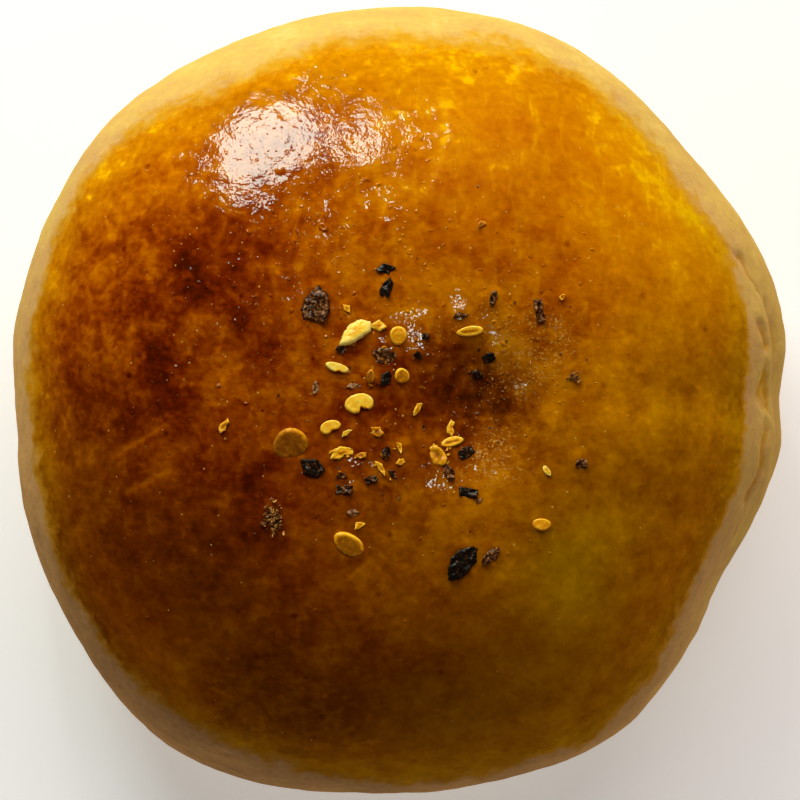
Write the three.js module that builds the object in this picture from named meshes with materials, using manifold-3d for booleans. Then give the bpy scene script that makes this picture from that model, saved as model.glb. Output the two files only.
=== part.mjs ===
// A round filled bun, baked on a flat tray: a glossy domed crown with a soft dimple, pale sides that turn
// under to a flat base, and chilli seeds, chips and dark flakes of skin baked onto the crown.
// Millimetres, +Z up. The origin is on the base, under the middle of the bun's outline.

import * as THREE from 'three';
import { mergeVertices } from 'three/addons/utils/BufferGeometryUtils.js';
import Module from 'manifold-3d';

const wasm = await Module();
wasm.setup();

// Driving dimensions of the bun.
const GIRTH_RADIUS = 47.5; // mean radius at the widest height
const GIRTH_HEIGHT = 15;
const CROWN_HEIGHT = 44; // of the dome before its hollows are pressed in
const CROWN_FULLNESS = 0.6; // handle length of the dome's quarter curve; an ellipse has 0.55
const BASE_RADIUS = 39.5;
const TUCK_DROP = 0.62; // share of the girth height over which the side stays steep
const TUCK_REACH = 3.5; // how far the side's curve runs along the tray before the flat base
const MESH_DETAIL = 17; // each icosahedron edge is cut into this many pieces plus one

// Where the outline bulges or draws in: angle from +X, push outwards, and spread along the outline.
const OUTLINE_LOBES = [
  { angle: 1, push: -1.2, spread: 6 },
  { angle: 40, push: -1.4, spread: 14 },
  { angle: 75, push: 0.3, spread: 15 },
  { angle: 136, push: 1.1, spread: 18 },
  { angle: 183, push: -1.0, spread: 11 },
  { angle: 237, push: 2.9, spread: 19 },
  { angle: 301, push: 0.8, spread: 10 },
  { angle: 333, push: -2.9, spread: 17 },
];

// Soft hollows and swells pressed into the crown, by place, depth (a swell is negative) and radius.
const CROWN_HOLLOWS = [
  { x: 9.5, y: 0.6, depth: 2.6, radius: 6.5 }, // finger dimple
  { x: 0.5, y: -1.5, depth: 1.5, radius: 14 }, // sunken middle that holds the sprinkle
  { x: -24, y: 9, depth: -0.6, radius: 13 },
  { x: 22, y: -22, depth: -0.5, radius: 13 },
];

// Wrinkles along the side, from one angle and height to another, with depth and half width.
const SIDE_CREASES = [
  { angles: [24, -16], heights: [25.5, 19.5], depth: 1.1, width: 1.9 },
  { angles: [-12, -34], heights: [24.5, 18], depth: 0.7, width: 1.7 },
  { angles: [34, 8], heights: [14.5, 11], depth: 0.6, width: 1.8 },
  { angles: [150, 196], heights: [13, 16.5], depth: 0.6, width: 2.0 },
  { angles: [255, 292], heights: [14.5, 11.5], depth: 0.6, width: 1.9 },
];

// The sprinkle, laid as it fell: place on the crown, length, width and turn from +X.
const SEEDS = [
  { x: -12.2, y: -4.9, length: 4.0, width: 3.6, turn: 15 },
  { x: -5.7, y: -16.1, length: 3.7, width: 2.5, turn: -40 },
  { x: -4.5, y: -0.4, length: 3.3, width: 2.5, turn: 8 },
  { x: 7.8, y: 7.7, length: 3.2, width: 1.1, turn: 5 },
  { x: 5.8, y: -4.7, length: 2.8, width: 1.1, turn: 15 },
  { x: -7.0, y: 3.6, length: 2.7, width: 1.1, turn: -15 },
  { x: -7.8, y: -3.0, length: 2.5, width: 1.5, turn: 15 },
  { x: -0.2, y: 7.2, length: 2.1, width: 2.0, turn: 60 },
  { x: 15.8, y: -13.9, length: 2.1, width: 1.4, turn: -5 },
  { x: 0.2, y: 2.7, length: 1.8, width: 1.7, turn: 80 },
  { x: -3.3, y: 2.6, length: 1.6, width: 0.9, turn: 85 },
];
const CHIPS = [
  { x: -4.9, y: 7.5, length: 4.2, width: 2.7, turn: 20 },
  { x: 4.2, y: -6.2, length: 2.8, width: 1.8, turn: -60 },
  { x: -6.4, y: -5.9, length: 2.4, width: 1.8, turn: -10 },
  { x: -2.4, y: 8.3, length: 2.0, width: 1.3, turn: -20 },
  { x: -2.1, y: -7.6, length: 2.1, width: 0.7, turn: -55 },
  { x: 1.9, y: -1.0, length: 1.6, width: 0.7, turn: 52 },
  { x: -19.6, y: -2.9, length: 1.7, width: 1.3, turn: 30 },
  { x: -4.3, y: -6.2, length: 1.5, width: 0.9, turn: 10 },
  { x: -4.5, y: -13.9, length: 1.6, width: 0.9, turn: 25 },
  { x: -2.6, y: -3.5, length: 1.6, width: 1.3, turn: -30 },
  { x: -6.0, y: -3.6, length: 1.5, width: 0.6, turn: 35 },
  { x: 5.7, y: -3.2, length: 1.6, width: 1.2, turn: 60 },
  { x: -5.9, y: 10.2, length: 1.2, width: 0.9, turn: -70 },
  { x: 16.4, y: -7.9, length: 1.4, width: 0.7, turn: -60 },
  { x: 0.0, y: -6.9, length: 1.2, width: 0.9, turn: 30 },
  { x: 0.0, y: -5.3, length: 1.4, width: 0.7, turn: -70 },
  { x: 9.1, y: 19.6, length: 1.0, width: 0.9, turn: 0 },
  { x: 18.1, y: 11.5, length: 1.0, width: 0.7, turn: 60 },
];
const FLAKES = [
  { x: 7.0, y: -18.2, length: 4.7, width: 2.6, turn: 50 },
  { x: -9.3, y: 10.7, length: 4.5, width: 3.8, turn: 80 },
  { x: -1.7, y: 5.0, length: 3.3, width: 2.2, turn: -10 },
  { x: -9.9, y: -7.5, length: 3.2, width: 2.3, turn: -25 },
  { x: 15.5, y: 10.0, length: 2.5, width: 1.1, turn: -78 },
  { x: 10.1, y: -17.4, length: 2.5, width: 1.3, turn: 35 },
  { x: -1.4, y: 12.5, length: 2.3, width: 1.5, turn: 70 },
  { x: 7.6, y: -10.3, length: 2.3, width: 1.2, turn: -8 },
  { x: -1.6, y: 14.7, length: 2.4, width: 1.3, turn: -5 },
  { x: -1.6, y: 2.3, length: 2.0, width: 1.5, turn: 60 },
  { x: -6.2, y: -10.0, length: 2.0, width: 1.1, turn: 0 },
  { x: 6.8, y: 9.5, length: 2.0, width: 0.8, turn: 8 },
  { x: 7.5, y: -5.9, length: 1.9, width: 1.4, turn: 25 },
  { x: 5.4, y: -8.0, length: 1.9, width: 1.3, turn: -60 },
  { x: 10.4, y: 11.4, length: 1.8, width: 0.9, turn: 75 },
  { x: 10.0, y: 4.8, length: 1.7, width: 1.3, turn: 20 },
  { x: 20.3, y: -7.1, length: 1.6, width: 1.3, turn: -15 },
  { x: -1.6, y: -5.9, length: 1.6, width: 1.1, turn: 70 },
  { x: -3.2, y: -8.9, length: 1.5, width: 0.9, turn: 15 },
  { x: 8.7, y: 2.9, length: 1.4, width: 1.1, turn: -10 },
  { x: -0.8, y: -8.2, length: 1.4, width: 0.9, turn: -60 },
  { x: -6.6, y: 5.6, length: 1.2, width: 1.0, turn: -40 },
  { x: -6.5, y: -8.4, length: 1.3, width: 0.9, turn: 0 },
  { x: 2.0, y: 5.0, length: 1.1, width: 0.9, turn: -45 },
  { x: 2.9, y: 7.1, length: 1.0, width: 0.9, turn: 0 },
];
const CRUMBS = [
  { x: -14.1, y: -13.2, length: 3.4, width: 2.1, turn: -80 },
  { x: 19.4, y: 2.6, length: 1.5, width: 1.3, turn: 20 },
];
const SEED_THICKNESS = 0.9;
const CHIP_THICKNESS = 0.6;
const FLAKE_THICKNESS = 0.5;
const CRUMB_THICKNESS = 1.2;
const SUNK_SHARE = 0.4; // of a topping's thickness that is baked into the crust

const BUN_COLOUR = '#b06a14';
const CRUST_ROUGHNESS = 0.3;

const radians = THREE.MathUtils.degToRad;
const bell = (distance, spread) => Math.exp(-((distance / spread) ** 2));

// Half of the bun's upright section, from the crown down the side to the middle of the base.
function bunProfile() {
  const rise = CROWN_HEIGHT - GIRTH_HEIGHT;
  const path = new THREE.Path();
  path.moveTo(0, CROWN_HEIGHT);
  path.bezierCurveTo(
    GIRTH_RADIUS * CROWN_FULLNESS, CROWN_HEIGHT,
    GIRTH_RADIUS, GIRTH_HEIGHT + rise * CROWN_FULLNESS,
    GIRTH_RADIUS, GIRTH_HEIGHT,
  );
  path.bezierCurveTo(
    GIRTH_RADIUS, GIRTH_HEIGHT * (1 - TUCK_DROP),
    BASE_RADIUS + TUCK_REACH, 0,
    BASE_RADIUS, 0,
  );
  path.lineTo(0, 0);
  return path;
}

// How far the outline is pushed out at an angle in degrees.
function outlinePush(angle) {
  let push = 0;
  for (const lobe of OUTLINE_LOBES) {
    const apart = THREE.MathUtils.euclideanModulo(angle - lobe.angle + 180, 360) - 180;
    push += lobe.push * bell(apart, lobe.spread);
  }
  return push;
}

// How deep the wrinkles are at an angle in degrees and a height.
function creaseDepth(angle, height) {
  let depth = 0;
  for (const crease of SIDE_CREASES) {
    const [start, end] = crease.angles;
    const apart = THREE.MathUtils.euclideanModulo(angle - (start + end) / 2 + 180, 360) - 180;
    const along = apart / (end - start); // -0.5 to 0.5 from end to end
    const line = THREE.MathUtils.lerp(crease.heights[0], crease.heights[1], along + 0.5);
    const taper = THREE.MathUtils.clamp(1 - (2 * along) ** 2, 0, 1);
    depth += crease.depth * taper * bell(height - line, crease.width);
  }
  return depth;
}

// How far the crown is pressed down at a place in plan.
function hollowDepth(x, y) {
  let depth = 0;
  for (const hollow of CROWN_HOLLOWS) {
    depth += hollow.depth * bell(Math.hypot(x - hollow.x, y - hollow.y), hollow.radius);
  }
  return depth;
}

// Moves a point of the unit sphere to its place on the bun.
function onBun(point, profile) {
  const angle = Math.atan2(point.y, point.x);
  const share = Math.acos(THREE.MathUtils.clamp(point.z, -1, 1)) / Math.PI;
  const { x: radius, y: height } = profile.getPoint(share);
  const degrees = THREE.MathUtils.radToDeg(angle);
  const widened = radius * (1 + outlinePush(degrees) / GIRTH_RADIUS);
  const reach = height > 0 ? widened - creaseDepth(degrees, height) : widened;
  const x = reach * Math.cos(angle);
  const y = reach * Math.sin(angle);
  const crownShare = THREE.MathUtils.smoothstep(height, GIRTH_HEIGHT, CROWN_HEIGHT);
  return point.set(x, y, height - crownShare * hollowDepth(x, y));
}

// The bun without its sprinkle, centred on its outline.
function bunGeometry() {
  const geometry = new THREE.IcosahedronGeometry(1, MESH_DETAIL);
  geometry.deleteAttribute('normal');
  geometry.deleteAttribute('uv');
  const merged = mergeVertices(geometry, 1e-6);
  const profile = bunProfile();
  const position = merged.getAttribute('position');
  const point = new THREE.Vector3();
  for (let i = 0; i < position.count; i++) {
    onBun(point.fromBufferAttribute(position, i).normalize(), profile);
    position.setXYZ(i, point.x, point.y, point.z);
  }
  merged.computeBoundingBox();
  const middle = merged.boundingBox.getCenter(new THREE.Vector3());
  return merged.translate(-middle.x, -middle.y, 0);
}

// A seed: a round disc with a plump rim and a dished middle, one unit across and thick.
function seedGeometry() {
  const section = new THREE.Path();
  section.moveTo(0, -0.36);
  section.lineTo(0.4, -0.4);
  section.lineTo(0.5, 0);
  section.lineTo(0.36, 0.5);
  section.lineTo(0, 0.3);
  const lathe = new THREE.LatheGeometry(section.getPoints(1), 8);
  return lathe.rotateX(Math.PI / 2);
}

// A chip or flake: an angular scrap with a corner drawn out, one unit across and thick.
function scrapGeometry(corners, point) {
  const outline = new THREE.Shape();
  for (let i = 0; i < corners; i++) {
    const angle = (i / corners) * 2 * Math.PI;
    const reach = i === 0 ? 0.5 + point : 0.5 - point * (i % 2);
    outline[i === 0 ? 'moveTo' : 'lineTo'](reach * Math.cos(angle), reach * Math.sin(angle));
  }
  const scrap = new THREE.ExtrudeGeometry(outline, { depth: 1, bevelEnabled: false, curveSegments: 1 });
  return scrap.translate(0, 0, -0.5);
}

const SHAPES = {
  seed: { thickness: SEED_THICKNESS, make: seedGeometry },
  chip: { thickness: CHIP_THICKNESS, make: () => scrapGeometry(5, 0.06) },
  flake: { thickness: FLAKE_THICKNESS, make: () => scrapGeometry(6, 0.07) },
  crumb: { thickness: CRUMB_THICKNESS, make: () => new THREE.IcosahedronGeometry(0.5, 0) },
};

// One topping, laid flat on the crust below its place and partly baked into it.
function layTopping(kind, piece, crust) {
  const { thickness, make } = SHAPES[kind];
  const above = new THREE.Vector3(piece.x, piece.y, 2 * CROWN_HEIGHT);
  const down = new THREE.Vector3(0, 0, -1);
  const [hit] = new THREE.Raycaster(above, down).intersectObject(crust);
  const place = new THREE.Object3D();
  place.quaternion.setFromUnitVectors(new THREE.Vector3(0, 0, 1), hit.face.normal);
  place.rotateZ(radians(piece.turn));
  place.position.copy(hit.point).addScaledVector(hit.face.normal, thickness * (0.5 - SUNK_SHARE));
  place.scale.set(piece.length, piece.width, thickness);
  place.updateMatrix();
  return make().applyMatrix4(place.matrix);
}

// A closed geometry as a solid that can be joined to others.
function solidOf(geometry) {
  const bare = new THREE.BufferGeometry();
  bare.setAttribute('position', geometry.getAttribute('position'));
  if (geometry.index) bare.setIndex(geometry.index);
  const merged = mergeVertices(bare, 1e-4);
  return new wasm.Manifold(new wasm.Mesh({
    numProp: 3,
    vertProperties: new Float32Array(merged.getAttribute('position').array),
    triVerts: new Uint32Array(merged.index.array),
  }));
}

function geometryOf(solid) {
  const { vertProperties, triVerts } = solid.getMesh();
  const geometry = new THREE.BufferGeometry();
  geometry.setAttribute('position', new THREE.BufferAttribute(vertProperties, 3));
  geometry.setIndex(new THREE.BufferAttribute(triVerts, 1));
  geometry.computeVertexNormals();
  return geometry;
}

// The bun with its sprinkle fused on.
function toppedBun() {
  const bare = bunGeometry();
  const crust = new THREE.Mesh(bare);
  let solid = solidOf(bare);
  const layers = { seed: SEEDS, chip: CHIPS, flake: FLAKES, crumb: CRUMBS };
  for (const [kind, pieces] of Object.entries(layers)) {
    for (const piece of pieces) {
      solid = solid.add(solidOf(layTopping(kind, piece, crust)));
    }
  }
  const material = new THREE.MeshStandardMaterial({
    color: BUN_COLOUR,
    roughness: CRUST_ROUGHNESS,
    metalness: 0,
  });
  const bun = new THREE.Mesh(geometryOf(solid), material);
  bun.name = 'bun';
  return bun;
}

const part = new THREE.Group();
part.add(toppedBun());

export default part;
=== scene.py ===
"""Looks of a round egg-washed bun with a sprinkle of dried chilli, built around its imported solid.

The crust is the solid's own surface worked out again with fine triangles, plus the relief that a baked,
brushed skin has. Seeds, chips, flakes and crumbs are separate meshes that lie on it. Shapes are worked out
in millimetres and turned into metres when a piece is made.
"""

import math

import bmesh
import bpy
import numpy as np
from mathutils import Matrix, Vector, noise
from mathutils.bvhtree import BVHTree


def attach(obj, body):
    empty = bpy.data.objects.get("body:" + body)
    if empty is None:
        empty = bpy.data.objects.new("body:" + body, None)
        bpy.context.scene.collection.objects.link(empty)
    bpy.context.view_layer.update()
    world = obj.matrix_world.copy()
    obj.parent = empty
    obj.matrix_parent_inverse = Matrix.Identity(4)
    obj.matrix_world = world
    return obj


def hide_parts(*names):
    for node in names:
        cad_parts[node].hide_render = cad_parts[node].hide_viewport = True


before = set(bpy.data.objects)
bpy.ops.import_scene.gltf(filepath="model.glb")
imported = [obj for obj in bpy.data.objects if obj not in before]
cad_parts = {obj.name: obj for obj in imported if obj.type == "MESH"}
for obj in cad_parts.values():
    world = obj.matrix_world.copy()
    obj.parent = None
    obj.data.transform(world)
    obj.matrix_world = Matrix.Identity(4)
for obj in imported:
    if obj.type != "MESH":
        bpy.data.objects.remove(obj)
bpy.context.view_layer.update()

MM = 0.001
BODY = "root"
NODE = "bun"
rng = np.random.default_rng(27)

# Driving sizes of the bun, the same as the solid's.
GIRTH_RADIUS = 47.5
GIRTH_HEIGHT = 15.0
CROWN_HEIGHT = 44.0
CROWN_FULLNESS = 0.6
BASE_RADIUS = 39.5
TUCK_DROP = 0.62
TUCK_REACH = 3.5
FINE_ABOVE = 0.13  # height on the unit sphere above which the crust's triangles are finer

# Bumps of the outline: angle from +X in degrees, push outwards, spread in degrees.
OUTLINE_LOBES = [
    (1, -1.2, 6), (40, -1.4, 14), (75, 0.3, 15), (136, 1.1, 18), (183, -1, 11), (237, 2.9, 19),
    (301, 0.8, 10), (333, -2.9, 17),
]

# Hollows and swells of the crown: x, y, depth (a swell is negative), radius.
CROWN_HOLLOWS = [
    (9.5, 0.6, 2.6, 6.5),
    (0.5, -1.5, 1.5, 14),
    (-24, 9, -0.6, 13),
    (22, -22, -0.5, 13),
]

# Side creases: from angle, to angle, from height, to height, depth, half width.
SIDE_CREASES = [
    (24, -16, 25.5, 19.5, 1.1, 1.9),
    (-12, -34, 24.5, 18, 0.7, 1.7),
    (34, 8, 14.5, 11, 0.6, 1.8),
    (150, 196, 13, 16.5, 0.6, 2.0),
    (255, 292, 14.5, 11.5, 0.6, 1.9),
]

# Fine wrinkles of the side that faces +X, as creases.
WRINKLES = [
    (29, 15, 28.5, 25.0, 0.55, 0.60),
    (14, 5, 28.0, 26.5, 0.60, 1.00),
    (5, -7, 26.5, 25.5, 0.70, 1.40),
    (-6, -15, 27.0, 26.0, 0.50, 0.80),
    (16, 1, 24.0, 22.5, 0.50, 0.90),
    (-14, -27, 25.0, 23.0, 0.45, 0.80),
]
WRINKLE_WASH = 0.45  # of wash that has run into a wrinkle
FULL_WRINKLE = 0.6  # depth of a wrinkle that holds all of it

# The sprinkle, as on the solid. Each row starts with x, y, length, width, turn.
# Seeds: tint of the middle and of the rim from 0, brown, to 1, bright yellow, depth of the notch, and lean,
# which lifts the edge towards +Y or, if negative, turns the seed's face to that side. The rim's tint is
# painted
# light: it is reached only on the side of the rim that faces the lights.
SEEDS = [
    (-12.2, -4.9, 4.0, 3.6, 15, 0.08, 0.44, 0.0, 11),
    (-5.7, -16.1, 3.7, 2.5, -40, 0.25, 0.78, 0.05, 9),
    (-4.5, -0.4, 3.3, 2.5, 8, 0.80, 0.95, 0.62, -6),
    (7.8, 7.7, 3.2, 1.1, 5, 0.70, 0.92, 0.0, -6),
    (5.8, -4.7, 2.8, 1.1, 15, 0.72, 0.90, 0.0, -4),
    (-7.0, 3.6, 2.7, 1.1, -15, 0.95, 1.0, 0.3, -8),
    (-7.8, -3.0, 2.5, 1.5, 15, 0.74, 0.92, 0.3, -8),
    (-0.2, 7.2, 2.1, 2.0, 60, 0.52, 0.84, 0.0, -4),
    (15.8, -13.9, 2.1, 1.4, -5, 0.52, 0.72, 0.0, -8),
    (0.2, 2.7, 1.8, 1.7, 80, 0.32, 0.90, 0.0, -2),
    (-3.3, 2.6, 1.6, 0.9, 85, 0.12, 0.50, 0.0, 0),
]
# Chips: tint, and the name of their outline.
CHIPS = [
    (-4.9, 7.5, 4.2, 2.7, 20, 0.92, "skin"),
    (4.2, -6.2, 2.8, 1.8, -60, 0.44, "leaf"),
    (-6.4, -5.9, 2.4, 1.8, -10, 0.62, "hook"),
    (-2.4, 8.3, 2.0, 1.3, -20, 0.66, "wedge"),
    (-2.1, -7.6, 2.1, 0.7, -55, 0.60, "shred"),
    (1.9, -1.0, 1.6, 0.7, 52, 0.55, "leaf"),
    (-19.6, -2.9, 1.7, 1.3, 30, 0.45, "hook"),
    (-4.3, -6.2, 1.5, 0.9, 10, 0.30, "shard"),
    (-4.5, -13.9, 1.6, 0.9, 25, 0.60, "shred"),
    (-2.6, -3.5, 1.6, 1.3, -30, 0.30, "shard"),
    (-6.0, -3.6, 1.5, 0.6, 35, 0.80, "shred"),
    (5.7, -3.2, 1.6, 1.2, 60, 0.62, "hook"),
    (-5.9, 10.2, 1.2, 0.9, -70, 0.55, "wedge"),
    (16.4, -7.9, 1.4, 0.7, -60, 0.85, "leaf"),
    (0.0, -6.9, 1.2, 0.9, 30, 0.60, "shard"),
    (0.0, -5.3, 1.4, 0.7, -70, 0.55, "shred"),
    (9.1, 19.6, 1.0, 0.9, 0, 0.25, "hook"),
    (18.1, 11.5, 1.0, 0.7, 60, 0.40, "shred"),
]
# Flakes: shade from 0, black, to 1, red-brown and see-through, and the name of their outline.
FLAKES = [
    (7.0, -18.2, 4.7, 2.6, 50, 0.02, "leaf"),
    (-9.3, 10.7, 4.5, 3.8, 80, 0.55, "spear"),
    (-1.7, 5.0, 3.3, 2.2, -10, 0.66, "shard"),
    (-9.9, -7.5, 3.2, 2.3, -25, 0.15, "shard"),
    (15.5, 10.0, 2.5, 1.1, -78, 0.55, "bar"),
    (10.1, -17.4, 2.5, 1.3, 35, 0.60, "leaf"),
    (-1.4, 12.5, 2.3, 1.5, 70, 0.05, "spear"),
    (7.6, -10.3, 2.3, 1.2, -8, 0.15, "bar"),
    (-1.6, 14.7, 2.4, 1.3, -5, 0.0, "wedge"),
    (-1.6, 2.3, 2.0, 1.5, 60, 0.05, "shard"),
    (-6.2, -10.0, 2.0, 1.1, 0, 0.45, "bar"),
    (6.8, 9.5, 2.0, 0.8, 8, 0.55, "shred"),
    (7.5, -5.9, 1.9, 1.4, 25, 0.20, "block"),
    (5.4, -8.0, 1.9, 1.3, -60, 0.55, "shard"),
    (10.4, 11.4, 1.8, 0.9, 75, 0.50, "block"),
    (10.0, 4.8, 1.7, 1.3, 20, 0.10, "block"),
    (20.3, -7.1, 1.6, 1.3, -15, 0.58, "block"),
    (-1.6, -5.9, 1.6, 1.1, 70, 0.35, "shard"),
    (-3.2, -8.9, 1.5, 0.9, 15, 0.30, "block"),
    (8.7, 2.9, 1.4, 1.1, -10, 0.25, "block"),
    (-0.8, -8.2, 1.4, 0.9, -60, 0.45, "wedge"),
    (-6.6, 5.6, 1.2, 1.0, -40, 0.45, "block"),
    (-6.5, -8.4, 1.3, 0.9, 0, 0.60, "shred"),
    (2.0, 5.0, 1.1, 0.9, -45, 0.20, "block"),
    (2.9, 7.1, 1.0, 0.9, 0, 0.30, "block"),
]
# Thin see-through scraps of skin that lie in the wash, as flakes.
FILMS = [
    (-9.4, 1.3, 1.7, 0.9, 80, 0.95, "shard"),
    (-5.1, 1.6, 1.8, 0.8, 5, 0.95, "shred"),
    (-5.3, -12.6, 1.6, 1.0, -5, 0.90, "shard"),
    (8.8, -11.2, 0.9, 0.6, 25, 0.75, "wedge"),
]
CRUMBS = [
    (-14.1, -13.2, 3.4, 2.1, -80),
    (19.4, 2.6, 1.5, 1.3, 20),
]
# Outlines of torn scraps: corners within one unit about the middle, the length along x.
OUTLINES = {
    "leaf": (
        (-1, -0.1), (-0.7, 0.5), (-0.1, 0.95), (0.6, 0.9), (1, 0.35),
        (0.9, -0.2), (0.4, -0.8), (-0.3, -0.95), (-0.85, -0.6),
    ),
    "spear": ((1, 0.1), (0.3, 0.7), (-0.5, 0.95), (-1, 0.6), (-0.9, -0.7), (-0.1, -0.8), (0.5, -0.5)),
    "bar": ((-1, -0.8), (1, -0.9), (0.95, 0.85), (-0.95, 0.9)),
    "wedge": ((-1, -0.7), (0.3, -0.9), (1, 0.3), (-0.2, 0.9)),
    "shard": ((-1, 0.2), (-0.3, -0.9), (0.7, -0.7), (1, 0.3), (0.1, 0.9)),
    "block": ((-0.9, -0.7), (0.2, -0.95), (0.95, -0.5), (0.8, 0.7), (-0.1, 0.95), (-0.95, 0.5)),
    "skin": (
        (-1, -0.6), (-0.75, 0.2), (-0.25, 0.9), (0.5, 1),
        (1, 0.45), (0.85, -0.3), (0.2, -0.55), (-0.4, -0.9),
    ),
    "shred": ((-1, -0.4), (-0.2, -0.9), (1, -0.5), (0.6, 0.4), (-0.4, 0.9)),
    "hook": ((-1, -0.9), (-0.2, -0.8), (0.3, -0.2), (1, 0.1), (0.9, 0.9), (-0.3, 0.8), (-0.8, 0.2)),
}
# Small yellow shreds between the chips: x, y, spread, how many.
SHRED_PLACES = [
    (-6.3, -6.2, 0.8, 6), (-1.8, -7.4, 1, 6), (5.2, -6, 0.9, 7), (-1, 4, 1.6, 5), (-4.3, 8.2, 1.5, 3),
]
SEED_THICKNESS = 0.8
SEED_RISE = 0.08  # of a seed's middle above the crust, as the other rises
NOTCH_TURN = 288  # where a seed's notch is, in degrees from its length
SLIT_SEED = 2.5  # length over width of a seed that lies on its edge
CHIP_THICKNESS = 0.20
CHIP_RISE = 0.15
CHIP_CRUMPLE = 0.12
SHRED_RISE = 0.08
EDGE_PALING = 0.55  # of a chip's tint from its middle to its thin edge
SKIN_THICKNESS = 1.0  # of the one chip that is a swollen piece of skin
SKIN_CRUMPLE = 0.10
SKIN_CRISPNESS = 4
SKIN_LEAN = (-20, -4)
FLAKE_THICKNESS = 0.16
FLAKE_RISE = 0.17
FLAKE_CURL = 0.06
FLAKE_CRUMPLE = 0.22
LONG_FLAKE = 1.6  # a longer flake leans less
SMALL_THICKNESS = 0.10  # of films, specks and crumbs
FILM_RISE = 0.05
SPECK_RISE = 0.03
SPECK_COUNT = 34
CRUMBS_PER_MM2 = 20


# Small helpers

def bell(distance, spread):
    return np.exp(-((distance / spread) ** 2))


def smooth(low, high, value):
    t = np.clip((value - low) / (high - low), 0, 1)
    return t * t * (3 - 2 * t)


def turned(angle, centre):
    """How far an angle is from another, in degrees, from -180 to 180."""
    return (angle - centre + 180) % 360 - 180


def ripple(points, wavelength, octaves=3, shift=0.0):
    """Smooth noise, about -1 to 1, at points in millimetres."""
    scaled = points / wavelength + shift
    return np.array([noise.fractal(Vector(p), 1.0, 2.0, octaves) for p in scaled])


def ripples(points, layers):
    """A sum of noise layers: amount, wavelength, stretch along x, y and z, octaves, shift."""
    return sum(
        amount * ripple(points * stretch, wavelength, octaves, shift)
        for amount, wavelength, stretch, octaves, shift in layers
    )


def round_sum(angle, bumps):
    """The sum of bumps going round: angle from +X in degrees, amount, spread in degrees."""
    return sum(amount * bell(turned(angle, at), spread) for at, amount, spread in bumps)


def apart(points, x, y):
    """How far points are from x, y, seen from above."""
    return np.hypot(points[:, 0] - x, points[:, 1] - y)


# The bun's surface

def bezier(*corners, steps=240):
    t = np.linspace(0, 1, steps)[:, None]
    a, b, c, d = (np.array(corner, float) for corner in corners)
    return a * (1 - t) ** 3 + 3 * b * t * (1 - t) ** 2 + 3 * c * t**2 * (1 - t) + d * t**3


def bun_profile():
    """Half of the upright section, from crown to base, and each point's share of its length."""
    rise = CROWN_HEIGHT - GIRTH_HEIGHT
    dome = bezier(
        (0, CROWN_HEIGHT),
        (GIRTH_RADIUS * CROWN_FULLNESS, CROWN_HEIGHT),
        (GIRTH_RADIUS, GIRTH_HEIGHT + rise * CROWN_FULLNESS),
        (GIRTH_RADIUS, GIRTH_HEIGHT),
    )
    tuck = bezier(
        (GIRTH_RADIUS, GIRTH_HEIGHT),
        (GIRTH_RADIUS, GIRTH_HEIGHT * (1 - TUCK_DROP)),
        (BASE_RADIUS + TUCK_REACH, 0),
        (BASE_RADIUS, 0),
    )
    points = np.vstack([dome, tuck[1:], [[0, 0]]])
    lengths = np.concatenate([[0], np.cumsum(np.hypot(*np.diff(points, axis=0).T))])
    return points, lengths / lengths[-1]


def crease_depth(angle, height, creases):
    depth = 0
    for start, end, low, high, deep, width in creases:
        along = turned(angle, (start + end) / 2) / (end - start)
        line = low + (high - low) * (along + 0.5)
        depth = depth + deep * np.clip(1 - (2 * along) ** 2, 0, 1) * bell(height - line, width)
    return depth


def hollow_depth(x, y):
    return sum(deep * bell(np.hypot(x - hx, y - hy), radius) for hx, hy, deep, radius in CROWN_HOLLOWS)


def crown_sphere():
    """A unit sphere whose triangles are finer over the crown: vertex directions and triangles."""
    bm = bmesh.new()
    bmesh.ops.create_icosphere(bm, subdivisions=7, radius=1)
    fine = [face for face in bm.faces if min(v.co.z for v in face.verts) > FINE_ABOVE]
    edges = list({edge for face in fine for edge in face.edges})
    bmesh.ops.subdivide_edges(bm, edges=edges, cuts=1, use_grid_fill=True)
    bmesh.ops.triangulate(bm, faces=bm.faces)
    bm.verts.ensure_lookup_table()
    directions = np.array([v.co.normalized() for v in bm.verts])
    triangles = np.array([[v.index for v in face.verts] for face in bm.faces])
    bm.free()
    return directions, triangles


class Crust:
    """The bun's bare surface: points, and each one's angle, unpressed height and share of the outline."""

    def __init__(self):
        directions, self.triangles = crown_sphere()
        profile, shares = bun_profile()
        self.angle = np.degrees(np.arctan2(directions[:, 1], directions[:, 0]))
        share = np.arccos(np.clip(directions[:, 2], -1, 1)) / np.pi
        radius = np.interp(share, shares, profile[:, 0])
        self.height = np.interp(share, shares, profile[:, 1])
        reach = radius * (1 + round_sum(self.angle, OUTLINE_LOBES) / GIRTH_RADIUS)
        reach = reach - np.where(self.height > 0, crease_depth(self.angle, self.height, SIDE_CREASES), 0)
        x = reach * np.cos(np.radians(self.angle))
        y = reach * np.sin(np.radians(self.angle))
        crown = smooth(GIRTH_HEIGHT, CROWN_HEIGHT, self.height)
        self.points = np.column_stack([x, y, self.height - crown * hollow_depth(x, y)])
        middle = (self.points.min(0) + self.points.max(0)) / 2
        self.points[:, :2] -= middle[:2]
        above = share < shares[np.argmax(profile[:, 0])]
        self.plan = np.where(above, radius / GIRTH_RADIUS, 2 - radius / GIRTH_RADIUS)


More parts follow.
